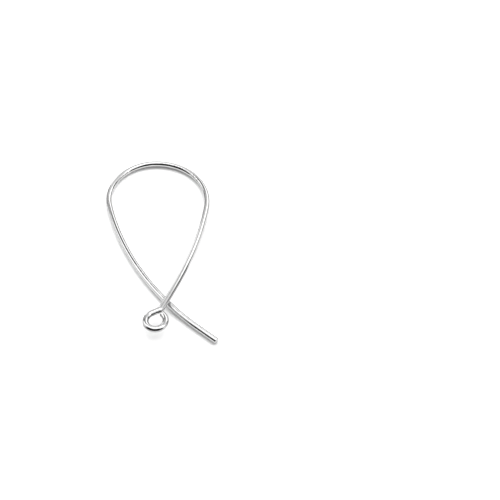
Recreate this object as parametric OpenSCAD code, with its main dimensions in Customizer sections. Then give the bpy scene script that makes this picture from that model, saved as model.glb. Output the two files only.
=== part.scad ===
// Ear wire: one length of round silver wire bent into a drop-shaped hoop that crosses over itself, with a round
// eye closed on one end and a straight post on the other. Millimetres, lying flat on z = 0 with the crown to +Y.
// All lengths and bend radii are those of the wire's centre line unless a comment says otherwise.

/* [Wire] */

// Diameter of the round wire
wire_d = 0.8; // [0.6:0.05:1]
// Clear gap between the stem and the tail where the stem passes over it
pass_gap = 0.05; // [0.02:0.01:0.3]

/* [Hoop] */

// Bend radius of the left half of the crown
crown_left_r = 6.05; // [5.2:0.05:7]
// Bend radius of the right half of the crown
crown_right_r = 7.05; // [6:0.05:8]
// Distance down from the top of the crown to the crossing
hoop_l = 23.4; // [20:0.1:27]
// How far the crossing lies to the right of the top of the crown
crossing_x = 2.05; // [0:0.05:3.5]
// Bow radius of the left leg
left_bow_r = 38.7; // [29:0.1:64]
// Bow radius of the right leg
right_bow_r = 52; // [36:0.5:80]

/* [Tail] */

// Bow radius of the tail past the crossing
tail_bow_r = 33; // [24:0.5:64]
// Length of the bowed part of the tail, from the crossing to the post
tail_bow_l = 5.2; // [3:0.1:7]
// Length of the straight post that ends the tail
post_l = 3.2; // [2.5:0.1:5]
// Bevel round the tip of the post
tip_bevel = 0.08; // [0.04:0.01:0.12]

/* [Eye] */

// Straight length of the stem from the crossing to the bend above the eye
neck_l = 1.5; // [1:0.05:2.5]
// Radius of the bend above the eye
neck_bend_r = 0.8; // [0.6:0.05:1.2]
// Angle of the bend above the eye
neck_bend = 38.5; // [25:0.5:60]
// Straight length along the top of the eye
eye_top_l = 0.9; // [0.8:0.05:1.4]
// Clear opening of the eye
eye_bore = 1.65; // [1.4:0.05:2.2]
// Angle through which the wire turns round the eye
eye_turn = 287; // [280:1:292]
// Clear gap between the cut end of the eye and the stem
eye_gap = 0.1; // [0.05:0.01:0.2]

/* [Hidden] */

// Sides of the swept wire, greatest turn between rings, and greatest sag of the rings' chords
sides = 16;
step_max = 10;
sag = 0.01;
// Depth by which the swept wire runs into the post, and how much thinner it is there
joint_l = 0.2;
joint_step = 0.005;

r = wire_d / 2;
rise = wire_d + pass_gap;
eye_r = eye_bore / 2 + r;

// The crossing and the two crown centres, measured from the centre of the crown's left half
crossing = [crossing_x, crown_left_r - hoop_l];
left_centre = [0, 0];
right_centre = [0, crown_left_r - crown_right_r];

// Direction from a crown centre to the centre of the leg's bow. The bow starts tangent inside the crown's
// circle and ends at the crossing; side is 1 for the left leg and -1 for the right leg.
function bow_dir(centre, crown_r, bow_r, side) =
    let (v = crossing - centre, d = norm(v), a = bow_r - crown_r)
    atan2(v.y, v.x) + side * acos((a * a + d * d - bow_r * bow_r) / (2 * a * d));
function bow_centre(centre, crown_r, bow_r, side) =
    let (dir = bow_dir(centre, crown_r, bow_r, side))
    centre + (bow_r - crown_r) * [cos(dir), sin(dir)];
function dir_of(v) = atan2(v.y, v.x);
// An angle brought into 0 to 360
function turn_of(a) = a - 360 * floor(a / 360);

left_dir = bow_dir(left_centre, crown_left_r, left_bow_r, 1);
right_dir = bow_dir(right_centre, crown_right_r, right_bow_r, -1);
left_end_dir = dir_of(crossing - bow_centre(left_centre, crown_left_r, left_bow_r, 1));
right_end_dir = dir_of(crossing - bow_centre(right_centre, crown_right_r, right_bow_r, -1));

left_turn = turn_of(left_end_dir - left_dir - 180);
crown_left_turn = turn_of(left_dir + 180 - 90);
crown_right_turn = turn_of(90 - right_dir - 180);
right_turn = turn_of(right_dir + 180 - right_end_dir);
tail_turn = tail_bow_l / tail_bow_r * 180 / PI;

function arc_l(radius, turn) = radius * abs(turn) * PI / 180;

// Straight length that brings the cut end of the eye up to its gap from the stem
eye_end_l = (eye_r * (1 - cos(eye_turn)) - r - eye_gap - r * abs(cos(eye_turn))) / -sin(eye_turn);

// The wire from the post to the eye's cut end. Columns: length, turn to the left, bend radius (0 if straight)
RUN_L = 0;
RUN_TURN = 1;
RUN_R = 2;
runs = [
    [joint_l, 0, 0],
    [tail_bow_l, -tail_turn, tail_bow_r],
    [arc_l(left_bow_r, left_turn), -left_turn, left_bow_r],
    [arc_l(crown_left_r, crown_left_turn), -crown_left_turn, crown_left_r],
    [arc_l(crown_right_r, crown_right_turn), -crown_right_turn, crown_right_r],
    [arc_l(right_bow_r, right_turn), -right_turn, right_bow_r],
    [neck_l, 0, 0],
    [arc_l(neck_bend_r, neck_bend), -neck_bend, neck_bend_r],
    [eye_top_l, 0, 0],
    [arc_l(eye_r, eye_turn), eye_turn, eye_r],
    [eye_end_l, 0, 0]
];
climb_run = 5;

// A pose is [x, y, heading]. Moves it along a run of length l that turns by a.
function moved(pose, l, a) =
    let (half = a / 2, chord = half == 0 ? l : l * sin(half) / (half * PI / 180))
    [pose.x + chord * cos(pose.z + half), pose.y + chord * sin(pose.z + half), pose.z + a];

// The tail's outer end, found by running the tail back from the crossing
crossing_pose = [crossing.x, crossing.y, left_end_dir - 90];
back_pose = moved([crossing_pose.x, crossing_pose.y, crossing_pose.z + 180], tail_bow_l, tail_turn);
post_pose = [back_pose.x, back_pose.y, back_pose.z - 180];
start_pose = moved(post_pose, -joint_l, 0);

poses = [
    for (i = 0, pose = start_pose; i < len(runs);
         pose = moved(pose, runs[i][RUN_L], runs[i][RUN_TURN]), i = i + 1)
        pose
];

function steps_of(run) =
    run[RUN_R] == 0 ? 1 : ceil(abs(run[RUN_TURN]) / min(step_max, 2 * acos(1 - sag / run[RUN_R])));

// Smooth climb from 0 to 1, level at both ends
function climb(u) = u * u * (3 - 2 * u);
function climb_slope(u) = 6 * u * (1 - u);

// Rings of the sweep. Columns: x, y, heading, height, slope, radius
rings = [
    for (i = [0 : len(runs) - 1])
        let (run = runs[i], steps = steps_of(run))
        for (k = [(i == 0 ? 0 : 1) : steps])
            let (
                u = k / steps,
                pose = moved(poses[i], run[RUN_L] * u, run[RUN_TURN] * u),
                up = i < climb_run ? 0 : i > climb_run ? 1 : climb(u),
                slope = i == climb_run ? rise * climb_slope(u) / run[RUN_L] : 0,
                ring_r = i == 0 ? r - joint_step : r
            )
            [pose.x, pose.y, pose.z, r + rise * up, slope, ring_r]
];

// Point of a ring at angle a, from the wire's left side upwards
function ring_point(ring, a) =
    let (tilt = atan(ring[4]), out = ring[5] * cos(a), up = ring[5] * sin(a))
    [
        ring[0] - out * sin(ring[2]) - up * sin(tilt) * cos(ring[2]),
        ring[1] + out * cos(ring[2]) - up * sin(tilt) * sin(ring[2]),
        ring[3] + up * cos(tilt)
    ];

points = [for (ring = rings) for (j = [0 : sides - 1]) ring_point(ring, j * 360 / sides)];
last = len(rings) - 1;
faces = concat(
    [[for (j = [0 : sides - 1]) j]],
    [
        for (i = [0 : last - 1]) for (j = [0 : sides - 1])
            let (k = (j + 1) % sides)
            [i * sides + j, (i + 1) * sides + j, (i + 1) * sides + k, i * sides + k]
    ],
    [[for (j = [sides - 1 : -1 : 0]) last * sides + j]]
);

// Low and high corner in plan of a round of radius disc_r across the post, back_l behind the post's inner end
function disc_box(back_l, disc_r) =
    let (
        pose = moved(post_pose, -back_l, 0),
        reach = disc_r * [abs(sin(pose.z)), abs(cos(pose.z))],
        place = [pose.x, pose.y]
    )
    [place - reach, place + reach];

// The middle of the whole wire's box. The post's part of it is that of its tip and of the back of its bevel
post_corners = concat(disc_box(post_l, r - tip_bevel), disc_box(post_l - tip_bevel, r));
all_x = concat([for (p = points) p.x], [for (c = post_corners) c.x]);
all_y = concat([for (p = points) p.y], [for (c = post_corners) c.y]);
middle = [(min(all_x) + max(all_x)) / 2, (min(all_y) + max(all_y)) / 2, 0];

module bent_wire() {
    polyhedron(points = points, faces = faces);
}

// Straight round post, drawn from its inner end to the bevelled tip
module post() {
    translate([post_pose.x, post_pose.y, r])
        rotate([0, -90, post_pose.z])
            union() {
                cylinder(r = r, h = post_l - tip_bevel, $fn = 64);
                translate([0, 0, post_l - tip_bevel])
                    cylinder(r1 = r, r2 = r - tip_bevel, h = tip_bevel, $fn = 64);
            }
}

module ear_wire() {
    color("silver")
        translate(-middle)
            union() {
                bent_wire();
                post();
            }
}

ear_wire();
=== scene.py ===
"""An ear wire of polished silver lying on a pale floor in soft studio light.

The wire is one swept mesh along the same route as the CAD part: post, tail, left leg, crown, right leg,
stem and eye. Lengths on the wire are millimetres, as in part.scad; the mesh and the studio are in metres.
"""
import math

import bpy
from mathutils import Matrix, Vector


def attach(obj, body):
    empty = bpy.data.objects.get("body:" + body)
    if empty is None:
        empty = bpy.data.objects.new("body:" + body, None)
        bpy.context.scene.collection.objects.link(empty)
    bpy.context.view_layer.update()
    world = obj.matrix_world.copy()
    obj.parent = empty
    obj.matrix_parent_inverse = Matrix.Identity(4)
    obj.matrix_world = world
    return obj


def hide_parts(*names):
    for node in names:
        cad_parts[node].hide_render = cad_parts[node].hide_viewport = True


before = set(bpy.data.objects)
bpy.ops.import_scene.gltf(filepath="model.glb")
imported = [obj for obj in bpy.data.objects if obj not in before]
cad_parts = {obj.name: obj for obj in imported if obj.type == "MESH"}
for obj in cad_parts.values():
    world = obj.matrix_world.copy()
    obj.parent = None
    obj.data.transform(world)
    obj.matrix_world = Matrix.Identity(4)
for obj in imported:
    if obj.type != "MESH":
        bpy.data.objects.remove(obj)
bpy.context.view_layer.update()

MM = 0.001

# The wire's sizes, as in part.scad
WIRE_D = 0.8
PASS_GAP = 0.05
CROWN_LEFT_R = 6.05
CROWN_RIGHT_R = 7.05
HOOP_L = 23.4
CROSSING_X = 2.05
LEFT_BOW_R = 38.7
RIGHT_BOW_R = 52
TAIL_BOW_R = 33
TAIL_BOW_L = 5.2
POST_L = 3.2
TIP_BEVEL = 0.08
NECK_L = 1.5
NECK_BEND_R = 0.8
NECK_BEND = math.radians(38.5)
EYE_TOP_L = 0.9
EYE_BORE = 1.65
EYE_TURN = math.radians(287)
EYE_GAP = 0.1

WIRE_R = WIRE_D / 2
RISE = WIRE_D + PASS_GAP
EYE_R = EYE_BORE / 2 + WIRE_R
CROSSING = Vector((CROSSING_X, CROWN_LEFT_R - HOOP_L))

# How finely the wire is swept: sides, greatest length and greatest turn between rings
SIDES = 48
RING_GAP = 0.16
RING_TURN = math.radians(5)
# A cut end: how far its edge is rounded off at the eye, the rings on its flat face as shares of that face's
# radius, and the rings of the rounded edge
CUT_ROUND = 0.05
FACE_RINGS = (0.02, 0.5, 0.85, 1)
EDGE_RINGS = 5


def bow(centre, crown_r, bow_r, side):
    """Direction from a crown's centre to the centre of a leg's bow, and that centre.

    side is 1 for the left leg and -1 for the right leg.
    """
    to_crossing = CROSSING - centre
    far = to_crossing.length
    reach = bow_r - crown_r
    corner = math.acos((reach ** 2 + far ** 2 - bow_r ** 2) / (2 * reach * far))
    heading = math.atan2(to_crossing.y, to_crossing.x) + side * corner
    return heading, centre + reach * Vector((math.cos(heading), math.sin(heading)))


def moved(pose, length, turn):
    """A pose (x, y, heading) moved along a run of that length that turns by turn."""
    x, y, heading = pose
    half = turn / 2
    chord = length if half == 0 else length * math.sin(half) / half
    return x + chord * math.cos(heading + half), y + chord * math.sin(heading + half), heading + turn


def wire_runs():
    """The pose at the post's tip, and the runs from there to the eye's cut end.

    A run is its length, its turn, and whether the wire climbs along it.
    """
    left_centre = Vector((0, 0))
    right_centre = Vector((0, CROWN_LEFT_R - CROWN_RIGHT_R))
    left_dir, left_bow_centre = bow(left_centre, CROWN_LEFT_R, LEFT_BOW_R, 1)
    right_dir, right_bow_centre = bow(right_centre, CROWN_RIGHT_R, RIGHT_BOW_R, -1)
    left_end = CROSSING - left_bow_centre
    right_end = CROSSING - right_bow_centre
    left_end_dir = math.atan2(left_end.y, left_end.x)
    right_end_dir = math.atan2(right_end.y, right_end.x)
    full = 2 * math.pi
    left_turn = (left_end_dir - left_dir - math.pi) % full
    crown_left_turn = (left_dir + math.pi / 2) % full
    crown_right_turn = (-math.pi / 2 - right_dir) % full
    right_turn = (right_dir + math.pi - right_end_dir) % full
    tail_turn = TAIL_BOW_L / TAIL_BOW_R
    reach = EYE_R * (1 - math.cos(EYE_TURN)) - WIRE_R - EYE_GAP - WIRE_R * abs(math.cos(EYE_TURN))
    eye_end_l = reach / -math.sin(EYE_TURN)

    back_along_tail = (CROSSING.x, CROSSING.y, left_end_dir + math.pi / 2)
    x, y, heading = moved(back_along_tail, TAIL_BOW_L, tail_turn)
    tip = moved((x, y, heading - math.pi), -POST_L, 0)
    runs = [
        (POST_L, 0, False),
        (TAIL_BOW_L, -tail_turn, False),
        (LEFT_BOW_R * left_turn, -left_turn, False),
        (CROWN_LEFT_R * crown_left_turn, -crown_left_turn, False),
        (CROWN_RIGHT_R * crown_right_turn, -crown_right_turn, False),
        (RIGHT_BOW_R * right_turn, -right_turn, True),
        (NECK_L, 0, False),
        (NECK_BEND_R * NECK_BEND, -NECK_BEND, False),
        (EYE_TOP_L, 0, False),
        (EYE_R * EYE_TURN, EYE_TURN, False),
        (eye_end_l, 0, False),
    ]
    return tip, runs


def wire_stations():
    """Points along the wire's centre line: (length so far, position, unit tangent)."""
    pose, runs = wire_runs()
    stations = []
    so_far = 0
    height = WIRE_R
    for length, turn, climbs in runs:
        steps = max(math.ceil(length / RING_GAP), math.ceil(abs(turn) / RING_TURN))
        for k in range(0 if not stations else 1, steps + 1):
            u = k / steps
            x, y, heading = moved(pose, length * u, turn * u)
            z = height + (RISE * u * u * (3 - 2 * u) if climbs else 0)
            slope = RISE * 6 * u * (1 - u) / length if climbs else 0
            tangent = Vector((math.cos(heading), math.sin(heading), slope)).normalized()
            stations.append((so_far + length * u, Vector((x, y, z)), tangent))
        pose = moved(pose, length, turn)
        so_far += length
        height += RISE if climbs else 0
    return stations


def rounded_end(stations, reach):
    """Rings that round a cut end off inside its last reach of wire: (length, position, tangent, radius)."""
    length, place, tangent = stations[0]
    sign = 1 if stations[1][0] > length else -1
    rings = [(length, place, tangent, (WIRE_R - reach) * share) for share in FACE_RINGS]
    for k in range(1, EDGE_RINGS + 1):
        angle = k / EDGE_RINGS * math.pi / 2
        depth = reach * (1 - math.cos(angle))
        radius = WIRE_R - reach * (1 - math.sin(angle))
        rings.append((length + sign * depth, place + sign * depth * tangent, tangent, radius))
    return rings


def make_wire():
    """The whole wire as one smooth mesh, with each vertex's place on the wire kept for its material."""
    stations = wire_stations()
    inner = [s for s in stations if TIP_BEVEL < s[0] < stations[-1][0] - CUT_ROUND]
    rings = rounded_end(stations, TIP_BEVEL)
    rings += [(length, place, tangent, WIRE_R) for length, place, tangent in inner]
    rings += reversed(rounded_end(stations[::-1], CUT_ROUND))

    verts = []
    on_wire = []
    for length, place, tangent, radius in rings:
        side = Vector((-tangent.y, tangent.x, 0)).normalized()
        up = tangent.cross(side)
        for j in range(SIDES):
            angle = 2 * math.pi * j / SIDES
            verts.append(place + radius * (math.cos(angle) * side + math.sin(angle) * up))
            on_wire.append((math.cos(angle) * radius, math.sin(angle) * radius, length))

    xs = [v.x for v in verts]
    ys = [v.y for v in verts]
    middle = Vector(((min(xs) + max(xs)) / 2, (min(ys) + max(ys)) / 2, 0))
    faces = [tuple(range(SIDES - 1, -1, -1))]
    for i in range(len(rings) - 1):
        for j in range(SIDES):
            k = (j + 1) % SIDES
            faces.append((i * SIDES + j, i * SIDES + k, (i + 1) * SIDES + k, (i + 1) * SIDES + j))
    last = (len(rings) - 1) * SIDES
    faces.append(tuple(range(last, last + SIDES)))

    mesh = bpy.data.meshes.new("bent_wire")
    mesh.from_pydata([(v - middle) * MM for v in verts], [], faces)
    mesh.shade_smooth()
    place_on_wire = mesh.attributes.new("place_on_wire", "FLOAT_VECTOR", "POINT")
    for item, value in zip(place_on_wire.data, on_wire):
        item.vector = value
    wire = bpy.data.objects.new("bent_wire", mesh)
    bpy.context.scene.collection.objects.link(wire)
    return wire, middle


class NodeTree:
    """Adds nodes to a material's or world's tree. An input is a number or another node's output."""

    def __init__(self, tree):
        self.nodes = tree.nodes
        self.links = tree.links

    def put(self, value, socket):
        if isinstance(value, (int, float)):
            socket.default_value = value
        else:
            self.links.new(value, socket)

    def split(self, vector):
        node = self.nodes.new("ShaderNodeSeparateXYZ")
        self.links.new(vector, node.inputs["Vector"])
        return node.outputs

    def math(self, operation, a, b=0.0):
        node = self.nodes.new("ShaderNodeMath")
        node.operation = operation
        self.put(a, node.inputs[0])
        self.put(b, node.inputs[1])
        return node.outputs[0]

    def ramp(self, value, middle, soft, falling=False):
        """A smooth step from 0 to 1, or from 1 to 0 if falling. soft is its width."""
        node = self.nodes.new("ShaderNodeMapRange")
        node.interpolation_type = "SMOOTHSTEP"
        self.put(value, node.inputs["Value"])
        node.inputs["From Min"].default_value = middle - soft / 2
        node.inputs["From Max"].default_value = middle + soft / 2
        node.inputs["To Min"].default_value = 1 if falling else 0
        node.inputs["To Max"].default_value = 0 if falling else 1
        return node.outputs["Result"]

    def window(self, value, low, high, soft):
        """1 between low and high and 0 outside, with soft edges."""
        return self.math("MULTIPLY", self.ramp(value, low, soft), self.ramp(value, high, soft, True))


def new_material(name):
    material = bpy.data.materials.new(name)
    material.use_nodes = True
    return material, NodeTree(material.node_tree), material.node_tree.nodes["Principled BSDF"]


def grey(value):
    return value, value, value, 1


SILVER_COLOUR = grey(0.5)
# Colour of the painted dark reflections on the silver
PAINTED_REFLECTION_COLOUR = (0.125, 0.12, 0.12, 1)

# Roughness of the silver, from its brightest to its dullest spots, and the cloudy noise that it follows:
# the noise's range, and its scale per mm, stretch (left, up, along) and detail
SILVER_ROUGHNESS = (0.02, 0.045)
CLOUD_RANGE = (0.3, 0.7)
CLOUD = (2.0, (1, 1, 0.4), 4)

# Unevenness of the surface, each laid over the one before it. Columns: noise scale per mm, stretch (left, up,
# along), detail, bump strength, bump depth in metres
UNEVENNESS = (
    # Waves left by bending
    (1.0, (0.8, 0.8, 0.55), 2, 0.5, 0.00006),
    # Shallow dents
    (3.0, (1, 1, 0.7), 2, 0.5, 0.000014),
    # Fine drawing lines along the wire
    (14.0, (1, 1, 0.02), 3, 0.3, 0.000004),
)

# Dark patches painted on the wire: painted reflections of dark lines that it mirrors. Columns: strength;
# ranges along the wire from the post's tip, to its left and upwards, each (from, to, soft edge) in mm, or
# None;
# grain that breaks the patch up (noise scale, stretch across the wire, level from which it is painted, soft
# edge), or None
GRAIN_DETAIL = 2
PAINTED_REFLECTIONS = (
    # Outer side of the right leg's end
    (0.6, (60, 66.4, 1), (0.22, 0.5, 0.1), (0.03, 0.28, 0.1), None),
    # Inner side of the eye's top
    (0.6, (68.15, 69.6, 0.5), (0.25, 0.5, 0.1), (-0.02, 0.2, 0.1), None),
    # Outer side of the eye's front
    (1, (70.3, 72.6, 0.6), (-0.5, -0.3, 0.08), (0.11, 0.2, 0.06), None),
    # Inner side of the crown
    (0.85, (32, 44.5, 2), (-0.36, -0.25, 0.04), None, (1.4, 0.3, 0.46, 0.16)),
    # Painted dark dashes of reflection on the crown's right half, beside its dark mirrored line
    (0.6, (38, 44.5, 0.4), (-0.27, -0.15, 0.05), None, (2.6, 0.1, 0.53, 0.06)),
)


def silver():
    """Polished silver with fine drawing lines, shallow unevenness and patches of painted dark reflection."""
    material, tree, shader = new_material("silver")
    shader.inputs["Metallic"].default_value = 1
    place = tree.nodes.new("ShaderNodeAttribute")
    place.attribute_name = "place_on_wire"
    left, up, along = tree.split(place.outputs["Vector"])

    def noise(scale, stretch, detail):
        mapping = tree.nodes.new("ShaderNodeMapping")
        mapping.inputs["Scale"].default_value = stretch
        texture = tree.nodes.new("ShaderNodeTexNoise")
        texture.inputs["Scale"].default_value = scale
        texture.inputs["Detail"].default_value = detail
        tree.links.new(place.outputs["Vector"], mapping.inputs["Vector"])
        tree.links.new(mapping.outputs["Vector"], texture.inputs["Vector"])
        return texture.outputs["Fac"]

    # Mask of the painted dark reflections, which darken the silver's colour
    painted_reflection = 0.0
    for strength, along_range, left_range, up_range, grain in PAINTED_REFLECTIONS:
        patch = strength
        for value, limits in ((along, along_range), (left, left_range), (up, up_range)):
            if limits:
                patch = tree.math("MULTIPLY", tree.window(value, *limits), patch)
        if grain:
            scale, across, from_level, soft = grain
            spots = tree.ramp(noise(scale, (across, across, 1), GRAIN_DETAIL), from_level, soft)
            patch = tree.math("MULTIPLY", spots, patch)
        painted_reflection = tree.math("MAXIMUM", painted_reflection, patch)
    # The silver's colour, darkened towards the painted reflection colour where the mask is
    tone = tree.nodes.new("ShaderNodeMix")
    tone.data_type = "RGBA"
    tone.inputs["A"].default_value = SILVER_COLOUR
    tone.inputs["B"].default_value = PAINTED_REFLECTION_COLOUR
    tree.links.new(painted_reflection, tone.inputs["Factor"])
    tree.links.new(tone.outputs["Result"], shader.inputs["Base Color"])

    rough = tree.nodes.new("ShaderNodeMapRange")
    rough.inputs["From Min"].default_value, rough.inputs["From Max"].default_value = CLOUD_RANGE
    rough.inputs["To Min"].default_value, rough.inputs["To Max"].default_value = SILVER_ROUGHNESS
    tree.links.new(noise(*CLOUD), rough.inputs["Value"])
    tree.links.new(rough.outputs["Result"], shader.inputs["Roughness"])

    normal = None
    for scale, stretch, detail, strength, depth in UNEVENNESS:
        bump = tree.nodes.new("ShaderNodeBump")
        bump.inputs["Strength"].default_value = strength
        bump.inputs["Distance"].default_value = depth
        tree.links.new(noise(scale, stretch, detail), bump.inputs["Height"])
        if normal:
            tree.links.new(normal, bump.inputs["Normal"])
        normal = bump.outputs["Normal"]
    tree.links.new(normal, shader.inputs["Normal"])
    return material


# The photograph's camera: its elevation, its distance in mm to the point it looks at, and its focal length in
# pixels of a picture PHOTO_PX wide
CAMERA_ELEVATION = math.radians(52)
CAMERA_DISTANCE = 136.16
FOCAL_PX = 1054.4
PHOTO_PX = 500
SENSOR = 36
# Turn of the camera's view from +Y towards +X, and the point it looks at, in mm from the centre of the
# crown's left half
VIEW_TURN = math.radians(1.88)
LOOK_AT = Vector((12.53, -9.06, 0))


def make_camera(middle):
    data = bpy.data.cameras.new("camera")
    data.sensor_width = SENSOR
    data.lens = FOCAL_PX / PHOTO_PX * SENSOR
    data.clip_start = 0.01
    camera = bpy.data.objects.new("camera", data)
    view = Vector((math.sin(VIEW_TURN) * math.cos(CAMERA_ELEVATION),
                   math.cos(VIEW_TURN) * math.cos(CAMERA_ELEVATION),
                   -math.sin(CAMERA_ELEVATION)))
    camera.location = (LOOK_AT - middle - CAMERA_DISTANCE * view) * MM
    camera.rotation_euler = view.to_track_quat("-Z", "Y").to_euler()
    bpy.context.scene.collection.objects.link(camera)
    bpy.context.scene.camera = camera


# Half of the floor's side, in metres
FLOOR_HALF = 0.6
FLOOR_COLOUR = grey(0.4)
# The floor is a translucent sheet, lit a little from below
FLOOR_GLOW = 0.17


def make_floor():
    mesh = bpy.data.meshes.new("floor")
    corners = [(-FLOOR_HALF, -FLOOR_HALF, 0), (FLOOR_HALF, -FLOOR_HALF, 0),
               (FLOOR_HALF, FLOOR_HALF, 0), (-FLOOR_HALF, FLOOR_HALF, 0)]
    mesh.from_pydata(corners, [], [(0, 1, 2, 3)])
    floor = bpy.data.objects.new("floor", mesh)
    bpy.context.scene.collection.objects.link(floor)
    material, _, shader = new_material("floor")
    shader.inputs["Base Color"].default_value = FLOOR_COLOUR
    shader.inputs["Roughness"].default_value = 0.9
    shader.inputs["Specular IOR Level"].default_value = 0.1
    shader.inputs["Emission Color"].default_value = grey(1)
    shader.inputs["Emission Strength"].default_value = FLOOR_GLOW
    mesh.materials.append(material)


# The key light is a long soft strip above and behind the wire. Metres and watts
KEY_AZIMUTH = math.radians(8)
KEY_ELEVATION = math.radians(49)
KEY_DISTANCE = 0.5
KEY_LENGTH = 2.8
KEY_WIDTH = 0.42
KEY_POWER = 25


def make_key_light():
    data = bpy.data.lights.new("key", "AREA")
    data.shape = "ELLIPSE"
    data.size = KEY_LENGTH
    data.size_y = KEY_WIDTH
    data.energy = KEY_POWER
    key = bpy.data.objects.new("key", data)
    away = Vector((math.sin(KEY_AZIMUTH) * math.cos(KEY_ELEVATION),
                   math.cos(KEY_AZIMUTH) * math.cos(KEY_ELEVATION),
                   math.sin(KEY_ELEVATION)))
    key.location = KEY_DISTANCE * away
    key.rotation_euler = away.to_track_quat("Z", "Y").to_euler()
    # What the wire mirrors is the tent, so the strip itself is kept out of its reflections
    key.visible_glossy = False
    bpy.context.scene.collection.objects.link(key)


# The studio round the wire is a tent of cards, each laid over the ones before it. Columns: strength; whether
# degrees round are counted from straight behind the wire or from the camera's side, growing to the right;
# left and right side; low and high edge; soft edges at the sides, and above and below. All are in degrees.
TENT_STRENGTH = 1.35
CARDS = (
    # The walls, which darken towards the floor
    (1.0, "behind", -130, -60, -90, 22, 10, 14),
    (0.4, "behind", -62, -28, -90, 33, 8, 10),
    (0.85, "behind", -35, 12, -90, 24, 6, 14),
    (1.6, "behind", -31, -23, -90, 32, 5, 10),
    (2.0, "behind", -34, -25, -90, 16, 4, 10),
    (0.12, "behind", 12, 63, -90, 17, 8, 12),
    (0.02, "behind", 64, 94, -90, 26, 8, 8),
    (0.9, "behind", 86, 122, -90, 22, 8, 14),
    (0.04, "behind", 123, 150, -90, 35, 8, 14),
    # The lit panels
    (2.7, "behind", -6, 62, 27, 51, 10, 8),
    (2.5, "behind", -84, -56, 28, 60, 8, 8),
    (2.8, "behind", 92, 124, 30, 62, 8, 8),
    (2.7, "behind", -130, -4, 62, 100, 10, 8),
    (3.8, "behind", -4, 120, 69, 100, 10, 8),
    (2.0, "front", -60, 60, 66, 100, 10, 10),
    # The grey joints between the panels
    (0.95, "behind", 10, 42, 49, 68, 12, 8),
    (0.02, "behind", -42, -6, 48, 57, 10, 6),
    (0.5, "behind", -12, 10, 38, 51, 10, 8),
    (0.4, "behind", -52, -34, 38, 58, 8, 10),
    # The dark opening that the camera looks in through
    (0.45, "front", -28, 80, -90, 69, 10, 10),
    (0.01, "front", -34, 71, -2, 54, 6, 8),
)


def make_tent():
    """The studio round the wire: white walls and panels by direction, open and dark on the camera's side."""
    world = bpy.data.worlds.new("tent")
    bpy.context.scene.world = world
    world.use_nodes = True
    tree = NodeTree(world.node_tree)
    background = tree.nodes["Background"]
    background.inputs["Color"].default_value = grey(1)
    place = tree.nodes.new("ShaderNodeTexCoord")
    x, y, z = tree.split(place.outputs["Generated"])
    back_x = tree.math("MULTIPLY", x, -1)
    back_y = tree.math("MULTIPLY", y, -1)
    round_from = {
        "behind": tree.math("DEGREES", tree.math("ARCTAN2", x, y)),
        "front": tree.math("DEGREES", tree.math("ARCTAN2", back_x, back_y)),
    }
    height = tree.math("DEGREES", tree.math("ARCSINE", z))

    level = TENT_STRENGTH
    for strength, start, left, right, low, high, soft, soft_up in CARDS:
        sides = tree.window(round_from[start], left, right, soft)
        ends = tree.window(height, low, high, soft_up)
        mix = tree.nodes.new("ShaderNodeMix")
        tree.links.new(tree.math("MULTIPLY", sides, ends), mix.inputs["Factor"])
        tree.put(level, mix.inputs["A"])
        tree.put(strength, mix.inputs["B"])
        level = mix.outputs["Result"]
    tree.links.new(level, background.inputs["Strength"])


wire, wire_middle = make_wire()
wire.data.materials.append(silver())
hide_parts("ear_wire")
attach(wire, "root")

make_camera(wire_middle)
make_floor()
make_key_light()
make_tent()
bpy.context.scene.view_settings.view_transform = "Standard"
